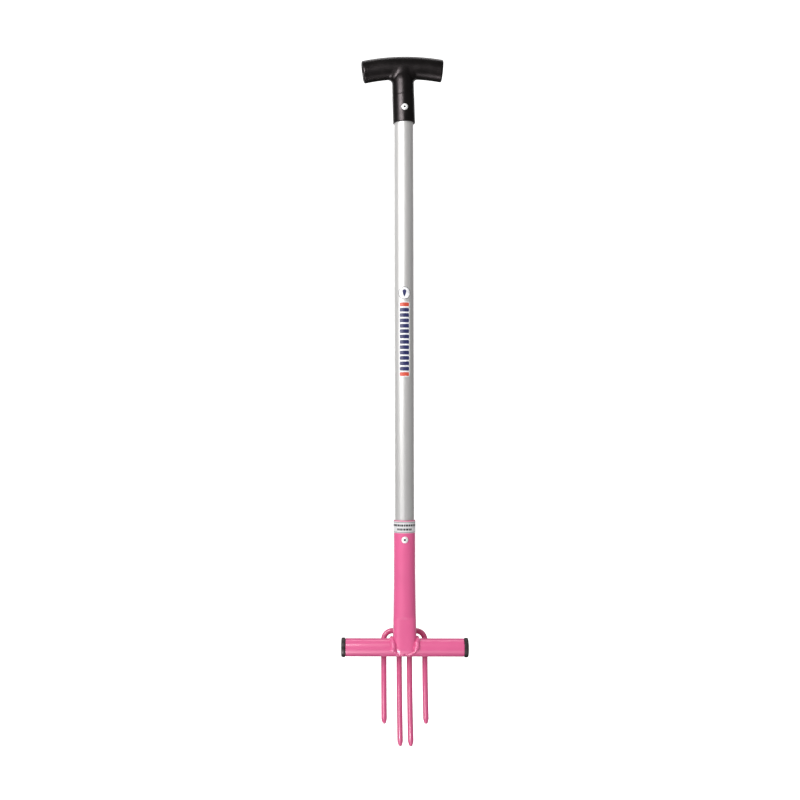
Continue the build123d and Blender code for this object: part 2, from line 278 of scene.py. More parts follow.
def pull_onto(field, places, step):
    """One Newton step of points towards the field's zero surface."""
    small = step * 0.05
    slope = np.zeros_like(places)
    for axis in range(3):
        shift = np.zeros(3)
        shift[axis] = small
        ahead, behind = places + shift, places - shift
        slope[:, axis] = (field(*ahead.T) - field(*behind.T)) / (2 * small)
    steepness = np.maximum((slope**2).sum(1), 0.05)
    move = field(*places.T) / steepness
    return places - slope * np.clip(move, -step, step)[:, None]


def join_round(a, b, radius):
    """The union of two fields, with a fillet of that radius where they meet."""
    near = np.sqrt(np.maximum(radius - a, 0) ** 2 + np.maximum(radius - b, 0) ** 2)
    return np.maximum(radius, np.minimum(a, b)) - near


def cut_round(a, b, radius):
    """What is in both fields, with the edge between them rounded to that radius."""
    far = np.sqrt(np.maximum(radius + a, 0) ** 2 + np.maximum(radius + b, 0) ** 2)
    return np.minimum(-radius, np.maximum(a, b)) + far


# ---------------------------------------------------------------- materials
def new_material(name, colour, roughness, metallic=0.0):
    material = bpy.data.materials.new(name)
    material.use_nodes = True
    shader = material.node_tree.nodes["Principled BSDF"]
    shader.inputs["Base Color"].default_value = (*colour, 1)
    shader.inputs["Roughness"].default_value = roughness
    shader.inputs["Metallic"].default_value = metallic
    return material, shader


def add_noise(material, scale, detail=3.0, stretch=(1, 1, 1)):
    """A noise pattern fixed to the object, in cycles to the metre, and stretched along its axes."""
    nodes, links = material.node_tree.nodes, material.node_tree.links
    place = nodes.new("ShaderNodeTexCoord")
    mapping = nodes.new("ShaderNodeMapping")
    mapping.inputs["Scale"].default_value = stretch
    noise = nodes.new("ShaderNodeTexNoise")
    noise.inputs["Scale"].default_value = scale
    noise.inputs["Detail"].default_value = detail
    links.new(place.outputs["Object"], mapping.inputs["Vector"])
    links.new(mapping.outputs["Vector"], noise.inputs["Vector"])
    return noise.outputs["Fac"]


def tint_by(material, shader, noise, dark, light):
    """The base colour wanders between two close colours."""
    nodes, links = material.node_tree.nodes, material.node_tree.links
    ramp = nodes.new("ShaderNodeValToRGB")
    ramp.color_ramp.elements[0].position = 0.32
    ramp.color_ramp.elements[1].position = 0.68
    ramp.color_ramp.elements[0].color = (*dark, 1)
    ramp.color_ramp.elements[1].color = (*light, 1)
    links.new(noise, ramp.inputs["Fac"])
    links.new(ramp.outputs["Color"], shader.inputs["Base Color"])


def roughen_by(material, shader, noise, low, high):
    nodes, links = material.node_tree.nodes, material.node_tree.links
    scale = nodes.new("ShaderNodeMapRange")
    scale.inputs["From Min"].default_value = 0.3
    scale.inputs["From Max"].default_value = 0.7
    scale.inputs["To Min"].default_value = low
    scale.inputs["To Max"].default_value = high
    links.new(noise, scale.inputs["Value"])
    links.new(scale.outputs["Result"], shader.inputs["Roughness"])


def bump_by(material, shader, noises, distance):
    """Fine relief from one or more patterns, the later ones stacked on the first."""
    nodes, links = material.node_tree.nodes, material.node_tree.links
    normal = None
    for noise, strength in noises:
        bump = nodes.new("ShaderNodeBump")
        bump.inputs["Strength"].default_value = strength
        bump.inputs["Distance"].default_value = distance
        links.new(noise, bump.inputs["Height"])
        if normal is not None:
            links.new(normal, bump.inputs["Normal"])
        normal = bump.outputs["Normal"]
    links.new(normal, shader.inputs["Normal"])


def pink_coating(name, colour, coat_roughness):
    """Glossy pink powder coat with a faint orange peel."""
    dark = tuple(0.975 * c for c in colour)
    light = tuple(1.025 * c for c in colour)
    material, shader = new_material(name, colour, 0.38)
    tint_by(material, shader, add_noise(material, 14), dark, light)
    roughen_by(material, shader, add_noise(material, 60), 0.34, 0.44)
    peel = add_noise(material, 420, 2.0)
    bump_by(material, shader, [(peel, 0.22)], 0.12 * MM)
    shader.inputs["Coat Weight"].default_value = 0.9
    shader.inputs["Coat Roughness"].default_value = coat_roughness
    return material


def shaft_aluminium():
    """Drawn aluminium tube: fine lines along its length and a satin, slightly uneven sheen."""
    material, shader = new_material("drawn_aluminium", (0.68, 0.672, 0.662), 0.40, 0.5)
    cloud = add_noise(material, 22, 4.0, (1, 1, 0.25))
    tint_by(material, shader, cloud, (0.66, 0.652, 0.643), (0.70, 0.692, 0.683))
    lines = add_noise(material, 900, 3.0, (1, 1, 0.004))
    roughen_by(material, shader, lines, 0.38, 0.50)
    bump_by(material, shader, [(lines, 0.10), (add_noise(material, 260, 2.0), 0.04)], 0.05 * MM)
    return material


def rivet_aluminium():
    material, shader = new_material("rivet_aluminium", (0.90, 0.89, 0.89), 0.5, 0.35)
    grain = add_noise(material, 1400, 2.0)
    tint_by(material, shader, grain, (0.86, 0.85, 0.85), (0.93, 0.93, 0.93))
    roughen_by(material, shader, grain, 0.45, 0.6)
    bump_by(material, shader, [(grain, 0.12)], 0.05 * MM)
    return material


def mandrel_steel():
    # Near-black, barely reflecting colour: painted shade for the hole the mandrel sits in, not the colour of
    # the steel.
    material, shader = new_material("broken_mandrel_painted_shade", (0.006, 0.006, 0.0055), 0.6, 0.1)
    grain = add_noise(material, 2600, 3.0)
    tint_by(material, shader, grain, (0.003, 0.003, 0.003), (0.010, 0.0095, 0.009))
    shader.inputs["Specular IOR Level"].default_value = 0.15
    roughen_by(material, shader, grain, 0.5, 0.7)
    bump_by(material, shader, [(grain, 0.5)], 0.1 * MM)
    return material


def black_plastic(name, roughness, paler=1.0):
    """Moulded black plastic with a spark-eroded grain and faint flow clouds."""
    material, shader = new_material(name, (0.0045, 0.004, 0.004), roughness)
    dark = (0.0035 * paler, 0.003 * paler, 0.003 * paler)
    light = (0.006 * paler, 0.0053 * paler, 0.005 * paler)
    tint_by(material, shader, add_noise(material, 30, 4.0), dark, light)
    shader.inputs["Specular IOR Level"].default_value = 0.5
    shader.inputs["Specular Tint"].default_value = (1, 0.88, 0.91, 1)
    roughen_by(material, shader, add_noise(material, 90, 3.0), roughness - 0.05, roughness + 0.07)
    grain = add_noise(material, 1700, 2.0)
    bump_by(material, shader, [(grain, 0.18), (add_noise(material, 120, 2.0), 0.05)], 0.08 * MM)
    return material


def printed_film(name, colour, roughness=0.3):
    material, shader = new_material(name, colour, roughness)
    dark = tuple(part * 0.9 for part in colour)
    light = tuple(min(1.0, part * 1.06) for part in colour)
    tint_by(material, shader, add_noise(material, 240, 3.0), dark, light)
    roughen_by(material, shader, add_noise(material, 500, 2.0), roughness - 0.05, roughness + 0.08)
    return material


PINK = pink_coating("pink_powder_coat", (0.72, 0.107, 0.277), 0.14)
WELD_PINK = pink_coating("pink_weld_coat", (0.72, 0.107, 0.277), 0.32)
# Darker copy of the pink coat for the tines: painted shade. It is the same paint as the bar and socket, made
# darker so the rods look shaded.
SHADED_TINE_PINK = pink_coating("pink_tine_coat_painted_shade", (0.61, 0.085, 0.225), 0.09)
ALUMINIUM = shaft_aluminium()
RIVET = rivet_aluminium()
MANDREL_PAINTED_SHADE = mandrel_steel()
HANDLE_BLACK = black_plastic("handle_black_plastic", 0.33)
CAP_BLACK = black_plastic("cap_black_plastic", 0.40, 4.0)
LABEL_WHITE = printed_film("label_silver_film", (0.66, 0.655, 0.665), 0.32)
LABEL_INK = printed_film("label_dark_ink", (0.012, 0.012, 0.018), 0.4)
DECAL_NAVY = printed_film("decal_navy_ink", (0.022, 0.026, 0.115), 0.32)
DECAL_RED = printed_film("decal_red_ink", (0.62, 0.07, 0.035), 0.32)
DECAL_WHITE = printed_film("decal_white_ink", (0.86, 0.86, 0.88), 0.3)


# ---------------------------------------------------------------- handle
WEB_OFFSET = -5 * MM
WEB_HALF = 1.1 * MM
GRIP_WALL = 2.8 * MM
CORE_STOP = math.radians(4.8)
DOME_START = GRIP_TOP - 38.5 * MM
DOME_HEIGHT = 24 * MM
SHOULDER = GRIP_TOP - 59 * MM
SHOULDER_RUN = 0.8 * MM
SHOULDER_STEP = 0.2 * MM
FRONT_FILLET = 4 * MM
SIDE_FILLET = 7 * MM
SIDE_FROM = 9 * MM
SIDE_RUN = 6 * MM


def handle_field(x, y, z):
    """The T-handle before it is twisted on the shaft: a grip on a domed stem, cored and bored."""
    centre = GRIP_TOP - GRIP_HALF_HEIGHT - GRIP_ARC
    reach = np.hypot(x, z - centre)
    across = reach - GRIP_ARC
    angle = np.abs(np.arctan2(x, z - centre))
    end_height = GRIP_TOP - GRIP_TOP_HALF**2 / (2 * GRIP_ARC)
    past_end = (np.abs(x) - GRIP_TOP_HALF) * math.cos(GRIP_END_SLANT)
    past_end = past_end - (z - end_height) * math.sin(GRIP_END_SLANT)
    grip = cut_round(oval(across, y, GRIP_HALF_HEIGHT, GRIP_HALF_DEPTH), past_end, 2.3 * MM)
    web = np.abs(across - WEB_OFFSET) - WEB_HALF
    hollow = oval(across, y, GRIP_HALF_HEIGHT - GRIP_WALL, GRIP_HALF_DEPTH - GRIP_WALL)
    hollow = cut_round(hollow, (CORE_STOP - angle) * reach, 1.5 * MM)
    hollow = cut_round(hollow, -web, 0.8 * MM)
    above = np.maximum(z - DOME_START, 0) * STEM_RADIUS / DOME_HEIGHT
    step = np.clip((z - SHOULDER) / SHOULDER_RUN, 0, 1)
    radius = STEM_RADIUS - SHOULDER_STEP * step * step * (3 - 2 * step)
    stem = np.sqrt(x * x + y * y + above * above) - radius
    stem = cut_round(stem, STEM_BOTTOM - z, 0.9 * MM)
    outward = np.clip((np.abs(x) - SIDE_FROM) / SIDE_RUN, 0, 1)
    handle = join_round(stem, grip, FRONT_FILLET + (SIDE_FILLET - FRONT_FILLET) * outward)
    handle = cut_round(handle, -hollow, 0.5 * MM)
    off_axis = x - (z - HANDLE_RIVET_HEIGHT) * math.tan(HANDLE_TILT)
    bore = np.maximum(np.hypot(off_axis, y) - SHAFT_RADIUS - 0.05 * MM, z - SHAFT_TOP - 0.5 * MM)
    return cut_round(handle, -bore, 0.4 * MM)


def oval(u, v, half_u, half_v):
    """Distance to an ellipse, near enough for a moulded shape."""
    first = np.sqrt((u / half_u) ** 2 + (v / half_v) ** 2)
    second = np.sqrt((u / half_u**2) ** 2 + (v / half_v**2) ** 2)
    return first * (first - 1) / np.maximum(second, 1e-9)


def make_handle():
    margin = 2 * MM
    low = (-63 * MM, -18 * MM, STEM_BOTTOM - margin)
    high = (63 * MM, 18 * MM, GRIP_TOP + margin)
    places, faces = field_surface(handle_field, low, high, 0.75 * MM)
    pivot = Matrix.Translation((0, 0, HANDLE_RIVET_HEIGHT))
    tilt = pivot @ Matrix.Rotation(-HANDLE_TILT, 4, "Y") @ pivot.inverted()
    twist = Matrix.Rotation(HANDLE_TWIST, 4, "Z") @ tilt
    piece = add_piece("t_handle_moulding", turned(places, twist), faces, HANDLE_BLACK, 50)
    stand_for(piece, "handle_plastic", "t_handle")


# ---------------------------------------------------------------- tubes
def make_shaft():
    profile = tube_profile(SHAFT_RADIUS, SHAFT_RADIUS - 1.4 * MM, SHAFT_BOTTOM, SHAFT_TOP)
    vertices, faces = lathe(profile)
    stand_for(add_piece("shaft_drawn_tube", vertices, faces, ALUMINIUM), "shaft_aluminium", "shaft_tube")


def make_foot_bar():
    profile = tube_profile(BAR_RADIUS, BAR_RADIUS - WALL, -BAR_END, BAR_END, 0.5 * MM)
    vertices, faces = lathe(profile)
    piece = add_piece("foot_bar_tube", turned(vertices, ALONG_X), faces, PINK)
    stand_for(piece, "pink_coating", "foot_bar")


def make_end_cap(name, side):
    """A domed plug with a shadow groove against the tube's end and a shallow dished face."""
    flange = CAP_END - BAR_END
    insert = BAR_RADIUS - WALL - 0.4 * MM
    corners = [
        (insert, -14 * MM, 0.6 * MM),
        (insert, 0, 0),
        (BAR_RADIUS - 0.5 * MM, 0, 0),
        (BAR_RADIUS - 0.5 * MM, 0.7 * MM, 0.1 * MM),
        (CAP_RADIUS, 0.8 * MM, 0.8 * MM),
        (CAP_RADIUS, flange - 0.3 * MM, 2.2 * MM),
        (8.5 * MM, flange, 1.5 * MM),
        (7.5 * MM, flange - 0.6 * MM, 0.8 * MM),
        (0.01 * MM, flange - 0.7 * MM, 0),
        (0.01 * MM, 2 * MM, 0),
        (insert - 2 * MM, 1.5 * MM, 0.5 * MM),
        (insert - 2 * MM, -14 * MM, 0.4 * MM),
    ]
    vertices, faces = lathe(rounded_profile(corners, 8), 96)
    place = Matrix.Translation((side * BAR_END, 0, 0)) @ Matrix.Rotation(side * math.radians(90), 4, "Y")
    piece = add_piece(name + "_plug", turned(vertices, place), faces, CAP_BLACK, 50)
    stand_for(piece, "cap_plastic", name)


PRESS_TOP = 47 * MM
PRESS_FULL = 41 * MM
SPREAD_TOP = 100 * MM
SPREAD_FULL = 20 * MM
PRESS_POWER = 3.1
LIP_FLAT = 9.5 * MM
LIP_REACH = 15.0 * MM


def socket_section(height, inset):
    """Half width, half depth and squareness of the socket tube at a height."""
    share = min(max((PRESS_TOP - height) / (PRESS_TOP - PRESS_FULL), 0), 1)
    ease = share * share * (3 - 2 * share)
    spread = min(max((SPREAD_TOP - height) / (SPREAD_TOP - SPREAD_FULL), 0), 1)
    half_depth = BAR_RADIUS + WALL + 0.12 * MM
    half_width = SOCKET_RADIUS + (SOCKET_FLAT_WIDTH / 2 - SOCKET_RADIUS) * spread
    depth = SOCKET_RADIUS + (half_depth - SOCKET_RADIUS) * ease
    return half_width - inset, depth - inset, 2 + (PRESS_POWER - 2) * ease


def socket_wall(inset, columns, rows):
    """One face of the socket tube's wall, from its top down to the lips that wrap the foot bar."""
    vertices = []
    heights = [SOCKET_TOP - 0.3 * MM - (SOCKET_TOP - PRESS_TOP) * row / 12 for row in range(12)]
    heights += [PRESS_TOP * (1 - row / rows) for row in range(rows + 1)]
    for height in heights:
        for column in range(columns):
            vertices.append(socket_point(height, ROUND * column / columns, inset))
    lip_rows = 10
    for row in range(1, lip_rows + 1):
        for column in range(columns):
            x, y, z = socket_point(0, ROUND * column / columns, inset)
            drop = LIP_DROP * lip_share(abs(x)) * row / lip_rows
            turn = drop / max(abs(y), 1 * MM)
            vertices.append((x, y * math.cos(turn), -abs(y) * math.sin(turn)))
    return vertices, len(heights) + lip_rows


def lip_share(across):
    """How much of the full lip is left at a distance from the middle: a rounded U."""
    t = min(max((across - LIP_FLAT) / (LIP_REACH - LIP_FLAT), 0), 1)
    return math.sqrt(max(1 - t * t, 0))


def socket_point(height, angle, inset):
    half_width, half_depth, power = socket_section(height, inset)
    c, s = math.cos(angle), math.sin(angle)
    x = math.copysign(half_width * abs(c) ** (2 / power), c)
    y = math.copysign(half_depth * abs(s) ** (2 / power), s)
    return x, y, height


def make_socket_tube():
    columns = 144
    outer, rows = socket_wall(0, columns, 40)
    inner, _ = socket_wall(WALL, columns, 40)
    rim = [socket_point(SOCKET_TOP, ROUND * c / columns, WALL * 0.35) for c in range(columns)]
    vertices = outer + inner[::-1] + rim
    faces = grid_faces(rows, columns)
    inner_start = rows * columns
    faces += [tuple(inner_start + v for v in face) for face in grid_faces(rows, columns)]
    for column in range(columns):
        following = (column + 1) % columns
        last = (rows - 1) * columns
        mirrored = inner_start + columns - 1 - column
        mirrored_next = inner_start + columns - 1 - following
        faces.append((last + column, last + following, mirrored_next, mirrored))
        top = inner_start + (rows - 1) * columns
        inner_column = top + columns - 1 - column
        inner_next = top + columns - 1 - following
        rim_start = 2 * rows * columns
        faces.append((column, following, rim_start + following, rim_start + column))
        faces.append((rim_start + column, rim_start + following, inner_next, inner_column))
    piece = add_piece("socket_pressed_tube", vertices, faces, PINK, 50)
    stand_for(piece, "pink_coating", "socket_tube")


# ---------------------------------------------------------------- tines
TIP_STEPS = (0, 0.2, 0.4, 0.6, 0.78, 0.88, 0.94, 0.975, 0.993, 1.0)


def leg_points(across, offset, top, tip_drop):
    """Centre points of one leg from just under the arch to the tip, before the bow is leaned back."""
    points = [Vector((across, offset, top + (BEND_START - top) * step / 8)) for step in range(8)]
    turn_end = math.asin((tip_drop - TIP_LENGTH + BEND_START) / BEND_RADIUS)
    for step in range(29):
        turn = turn_end * step / 28
        forward = BEND_RADIUS * (1 - math.cos(turn))
        points.append(Vector((across, offset - forward, BEND_START - BEND_RADIUS * math.sin(turn))))
    direction = Vector((0, -math.sin(turn_end), -math.cos(turn_end)))
    tip_start = points[-1]
    for share in TIP_STEPS[1:]:
        points.append(tip_start + direction * TIP_LENGTH * share)
    return points


def tip_radii():
    """Radii along a forged tip: a straight taper, then a small rounded end."""
    radii = []
    for share in TIP_STEPS:
        taper = ROD_RADIUS + (TIP_RADIUS - ROD_RADIUS) * min(share / 0.9, 1) ** 1.3
        near_end = max((share - 0.86) / 0.14, 0)
        radii.append(taper * math.sqrt(max(1 - near_end**2, 0.04)))
    return radii


def make_bow(name, node, half, top, corner, tip_drop, offset):
    """A rod bent over at the top, with two legs a half width from the middle, leaned back as one."""
    left = leg_points(-half, offset, top - corner, tip_drop)
    right = leg_points(half, offset, top - corner, tip_drop)
    arch = []
    for step in range(1, 16):
        angle = math.pi - (math.pi / 2) * step / 16
        across = corner - half + corner * math.cos(angle)
        arch.append(Vector((across, offset, top - corner + corner * math.sin(angle))))
    mirrored = [Vector((-p.x, p.y, p.z)) for p in reversed(arch)]
    straight = [Vector(((half - corner) * share, offset, top)) for share in (-1, -0.5, 0, 0.5, 1)]
    crown = straight if half > corner else [Vector((0, offset, top))]
    points = left[::-1] + arch + crown + mirrored + right
    tip = tip_radii()
    plain = len(points) - 2 * len(tip)
    radii = tip[::-1] + [ROD_RADIUS] * plain + tip
    lean = Matrix.Rotation(-BOW_LEAN, 4, "X")
    vertices, faces = sweep([lean @ p for p in points], radii)
    # The tines take the darker copy of the pink coat, which is painted shade on the rods.
    piece = add_piece(name, vertices, faces, SHADED_TINE_PINK, 50)
    stand_for(piece, "pink_coating", node)


# ---------------------------------------------------------------- welds
BEAD_BLEND = 0.55 * MM


def bead_field(beads):
    """Overlapping drops of weld metal, each (centre, radius), blended into one rippled bead."""

    def field(x, y, z):
        total = 0
        for centre, radius in beads:
            gap = np.sqrt((x - centre[0]) ** 2 + (y - centre[1]) ** 2 + (z - centre[2]) ** 2) - radius
            total = total + np.exp(-gap / BEAD_BLEND)
        return -BEAD_BLEND * np.log(np.maximum(total, 1e-30))

    return field


def drops_along(route, radius, spacing, chance):
    """Weld drops along a route, a little uneven in size and place."""
    beads = []
    for start, end in zip(route[:-1], route[1:]):
        start, end = Vector(start), Vector(end)
        count = max(1, round((end - start).length / spacing))
        for step in range(count):
            centre = start.lerp(end, (step + 0.5) / count)
            wobble = Vector(chance.uniform(-1, 1, 3)) * 0.28 * radius
            beads.append((centre + wobble, radius * chance.uniform(0.86, 1.16)))
    return beads


def make_weld(name, node, beads):
    centres = np.array([list(centre) for centre, _ in beads])
    reach = max(radius for _, radius in beads) + 1.5 * MM
    places, faces = field_surface(bead_field(beads), centres.min(0) - reach, centres.max(0) + reach, 0.5 * MM)
    piece = add_piece(name, places, faces, WELD_PINK, 60)
    stand_for(piece, "pink_coating", node)


def on_bar(across, height):
    """A point on the front of the foot bar's skin, at a height above its axis."""
    return (across, -math.sqrt(max(BAR_RADIUS**2 - height**2, 0)), height)


def make_socket_weld(name, side, chance):
    """The bead down one side of the front lip and round under it to the middle."""
    route = [
        (side * 18.2 * MM, 4 * MM, 12.8 * MM),
        (side * 18.4 * MM, -3 * MM, 12.8 * MM),
        on_bar(side * 18.2 * MM, 10.4 * MM),
        on_bar(side * 17.6 * MM, 6.6 * MM),
        on_bar(side * 16.8 * MM, 2.6 * MM),
        on_bar(side * 15.8 * MM, -1.4 * MM),
        on_bar(side * 14.0 * MM, -4.6 * MM),
        on_bar(side * 10.6 * MM, -6.8 * MM),
        on_bar(side * 6.0 * MM, -7.6 * MM),
        on_bar(side * 0.8 * MM, -7.6 * MM),
    ]
    beads = drops_along(route[:6], 3.3 * MM, 2.6 * MM, chance)
    beads += drops_along(route[5:], 2.0 * MM, 2.2 * MM, chance)
    make_weld(name + "_bead", name, beads)


def make_leg_welds(name, half, offset_radius, height, radius, chance):
    """A lump of weld on both sides of each leg, where it lies against the back of the bar."""
    beads = []
    for side in (-1, 1):
        for face in (-1, 1):
            across = side * half + face * 3.9 * MM
            route = [
                (across, offset_radius * math.cos(turn), height + offset_radius * math.sin(turn))
                for turn in (math.radians(a) for a in (44, 30, 16, 2))
            ]
            beads += drops_along(route, radius, 1.8 * MM, chance)
    make_weld(name + "_bead", name, beads)


def make_arch_weld(chance):
    low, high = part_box("arch_weld")
    route = [(low[0] + 2 * MM, 16.2 * MM, 17.2 * MM), (high[0] - 2 * MM, 16.2 * MM, 17.2 * MM)]
    make_weld("arch_weld_bead", "arch_weld", drops_along(route, 1.9 * MM, 1.7 * MM, chance))


# ---------------------------------------------------------------- rivets
def make_rivet(name, height, seat, twist):
    """A domed blind-rivet head with a rolled rim and the broken mandrel sunk in its hole."""
    crown = 1.7 * MM
    outer = 4.9 * MM
    hole = 1.6 * MM
    corners = [
        (hole, seat - 5 * MM, 0),
        (hole, seat + crown - 0.1 * MM, 0.3 * MM),
        (2.4 * MM, seat + crown, 0.8 * MM),
        (4.1 * MM, seat + crown * 0.66, 0.9 * MM),
        (outer, seat + 0.1 * MM, 0.35 * MM),
        (outer - 0.2 * MM, seat - 0.9 * MM, 0),
        (2.4 * MM, seat - 0.9 * MM, 0),
        (2.4 * MM, seat - 5 * MM, 0),
    ]
    place = Matrix.Rotation(twist, 4, "Z") @ Matrix.Translation((0, 0, height)) @ TO_FRONT
    vertices, faces = lathe(rounded_profile(corners, 6), 64)
    piece = add_piece(name + "_head", turned(vertices, place), faces, RIVET, 50)
    stand_for(piece, "rivet_aluminium", name)
    stub = rounded_profile(
        [
            (0.01 * MM, seat - 5 * MM, 0),
            (hole - 0.05 * MM, seat - 5 * MM, 0),
            (hole - 0.05 * MM, seat + crown - 1.5 * MM, 0.2 * MM),
            (0.7 * MM, seat + crown - 1.3 * MM, 0.2 * MM),
            (0.01 * MM, seat + crown - 1.55 * MM, 0),
        ]
    )
    vertices, faces = lathe(stub, 48)
    # The stub's near-black colour is painted shade of the rivet hole.
    piece = add_piece(name + "_stub", turned(vertices, place), faces, MANDREL_PAINTED_SHADE, 50)
    stand_for(piece, "mandrel_steel", name + "_mandrel")


# ---------------------------------------------------------------- printed films
def wrap_patches(outlines, radius, thickness, rings=5):
    """Thin printed patches on a tube's front. An outline is (across, height) points about a middle."""
    vertices, faces = [], []
    for (middle_u, middle_v), outline in outlines:
        for depth in (0, thickness):
            start = len(vertices)
            count = len(outline)
            for ring in range(rings):
                scale = 1 - ring / rings
                for u, v in outline:
                    vertices.append(on_tube(middle_u + u * scale, middle_v + v * scale, radius + depth))
            vertices.append(on_tube(middle_u, middle_v, radius + depth))
            faces += [tuple(start + i for i in face) for face in grid_faces(rings, count)]
            last = start + (rings - 1) * count
            for number in range(count):
                faces.append((last + number, last + (number + 1) % count, start + rings * count))
        below = start - rings * count - 1
        for number in range(count):
            following = (number + 1) % count
            faces.append((below + number, below + following, start + following, start + number))
    return vertices, faces


def on_tube(across, height, radius):
    angle = across / radius
    return (radius * math.sin(angle), -radius * math.cos(angle), height)


def rounded_box(half_u, half_v, corner):
    """A rounded rectangle outline about its middle."""
    outline = []
    for number, (su, sv) in enumerate(((1, 1), (-1, 1), (-1, -1), (1, -1))):
        for step in range(6):
            angle = math.radians(90) * (number + step / 5)
            u = su * (half_u - corner) + corner * math.cos(angle)
            v = sv * (half_v - corner) + corner * math.sin(angle)
            outline.append((u, v))
    dense = []
    for number, (u, v) in enumerate(outline):
        next_u, next_v = outline[(number + 1) % len(outline)]
        pieces = max(1, round(math.hypot(next_u - u, next_v - v) / (1.2 * MM)))
        for step in range(pieces):
            t = step / pieces
            dense.append((u + (next_u - u) * t, v + (next_v - v) * t))
    return dense


def disc(radius):
    """A round outline about its middle."""
    return [(radius * math.cos(ROUND * n / 48), radius * math.sin(ROUND * n / 48)) for n in range(48)]


def drop_shape(length, half_width):
    """A leaf-like drop standing on its point."""
    outline = []
    for number in range(32):
        angle = ROUND * number / 32
        swell = (1 + math.sin(angle)) / 2
        outline.append((half_width * math.cos(angle) * (0.25 + 0.75 * swell), length / 2 * math.sin(angle)))
    return outline


BADGE_RADIUS = 9.2 * MM
LADDER_TOP = DECAL_TOP - 27 * MM
LADDER_COUNT = 14
LADDER_PITCH = 7.8 * MM
RUNG_HALF_WIDTH = 7 * MM
RUNG_HALF_HEIGHT = 2.8 * MM
PRINT_EDGE = 1 * MM


def make_decal():
    """A generic print down the shaft: a round badge with a leaf drop over a ladder of even bars."""
    radius = SHAFT_RADIUS + FILM_GAP
    badge = (0, DECAL_TOP - 10.2 * MM)
    rungs = [(0, LADDER_TOP - LADDER_PITCH * number) for number in range(LADDER_COUNT)]
    bar = rounded_box(RUNG_HALF_WIDTH, RUNG_HALF_HEIGHT, 1.3 * MM)
    bar_edge = rounded_box(RUNG_HALF_WIDTH + PRINT_EDGE, RUNG_HALF_HEIGHT + PRINT_EDGE, 2.2 * MM)
    bars = [(spot, bar) for spot in rungs]
    drop = [(badge, drop_shape(10.5 * MM, 3.9 * MM))]
    plate = [(badge, disc(BADGE_RADIUS))]
    layers = (
        ("shaft_decal_white", plate + [(spot, bar_edge) for spot in rungs], DECAL_WHITE, 0, 0.03),
        ("shaft_decal_badge_rim", plate, LABEL_INK, 0.03, 0.02),
        ("shaft_decal_badge_face", [(badge, disc(BADGE_RADIUS - 0.7 * MM))], DECAL_WHITE, 0.04, 0.025),
        ("shaft_decal_navy", bars[1:-1] + drop, DECAL_NAVY, 0.07, 0.03),
        ("shaft_decal_red", bars[:1] + bars[-1:], DECAL_RED, 0.07, 0.03),
    )
    for name, outlines, material, lift, thickness in layers:
        mesh = wrap_patches(outlines, radius + lift * MM, thickness * MM)
        nodes = ["shaft_decal"] if lift == 0 else []
        stand_for(add_piece(name, *mesh, material, 50), "decal_film", *nodes)


def make_label():
    """A silver band round the socket with two rows of plain dashes between dark border lines."""
    inner = SOCKET_RADIUS + FILM_GAP
    profile = tube_profile(LABEL_RADIUS - 0.06 * MM, inner, LABEL_BOTTOM, LABEL_TOP, 0.05 * MM)
    vertices, faces = lathe(profile)
    stand_for(add_piece("socket_label_band", vertices, faces, LABEL_WHITE), "label_film", "socket_label")
    vertices, faces = [], []
    outer = LABEL_RADIUS - 0.04 * MM
    for height in (LABEL_BOTTOM + 1.2 * MM, LABEL_TOP - 1.4 * MM):
        start = len(vertices)
        border = tube_profile(outer, outer - 0.05 * MM, height - 0.3 * MM, height + 0.3 * MM, 0)
        ring, ring_faces = lathe(border)
        vertices += ring
        faces += [tuple(start + i for i in face) for face in ring_faces]
    chance = np.random.default_rng(21)
    dashes = []
    turn = math.pi * outer
    rows = ((LABEL_TOP - 5.6 * MM, -turn, turn), (LABEL_TOP - 11.4 * MM, -12 * MM, 13 * MM))
    for height, across, stop in rows:
        while across < stop - 4.2 * MM:
            half = chance.uniform(0.7, 1.8) * MM
            dashes.append(((across + half, height), rounded_box(half, 1.5 * MM, 0.4 * MM)))
            across += 2 * half + chance.uniform(0.6, 0.9) * MM
    marks, mark_faces = wrap_patches(dashes, outer - 0.03 * MM, 0.05 * MM, 2)
    start = len(vertices)
    vertices += marks
    faces += [tuple(start + i for i in face) for face in mark_faces]
    stand_for(add_piece("socket_label_marks", vertices, faces, LABEL_INK, 50), "label_film")


# ---------------------------------------------------------------- studio
def make_backdrop():
    """A pale seamless floor that curves up into the wall behind."""
    material = bpy.data.materials.new("studio_white")
    material.use_nodes = True
    shader = material.node_tree.nodes["Principled BSDF"]
    shader.inputs["Base Color"].default_value = (0.9, 0.9, 0.9, 1)
    shader.inputs["Roughness"].default_value = 0.9
    shader.inputs["Emission Color"].default_value = (1, 1, 1, 1)
    shader.inputs["Emission Strength"].default_value = 0.75
    half, back, bend, top = 12.0, 8.0, 2.4, 12.0
    line = [(-8.0, 0.0), (back - bend, 0.0)]
    for step in range(1, 17):
        angle = math.radians(90) * step / 16
        line.append((back - bend + bend * math.sin(angle), bend - bend * math.cos(angle)))
    line.append((back, top))
    vertices = [(side * half, y, FLOOR - 0.2 * MM + z) for y, z in line for side in (-1, 1)]
    faces = [(2 * n, 2 * n + 1, 2 * n + 3, 2 * n + 2) for n in range(len(line) - 1)]
    backdrop = add_piece("studio_backdrop", vertices, faces, material, 60)
    backdrop.visible_glossy = False
    backdrop.visible_diffuse = False
    backdrop.visible_shadow = False


def add_softbox(name, place, aim, size, power):
    light = bpy.data.lights.new(name, "AREA")
    light.shape = "RECTANGLE"
    light.size, light.size_y = size
    light.energy = power
    lamp = bpy.data.objects.new(name, light)
    lamp.location = place
    lamp.rotation_euler = (Vector(aim) - Vector(place)).to_track_quat("-Z", "Y").to_euler()
    lamp.visible_camera = False
    bpy.context.scene.collection.objects.link(lamp)
    return lamp


ROOM_LIGHT = 0.62
ROOM_REFLECTION = 0.05


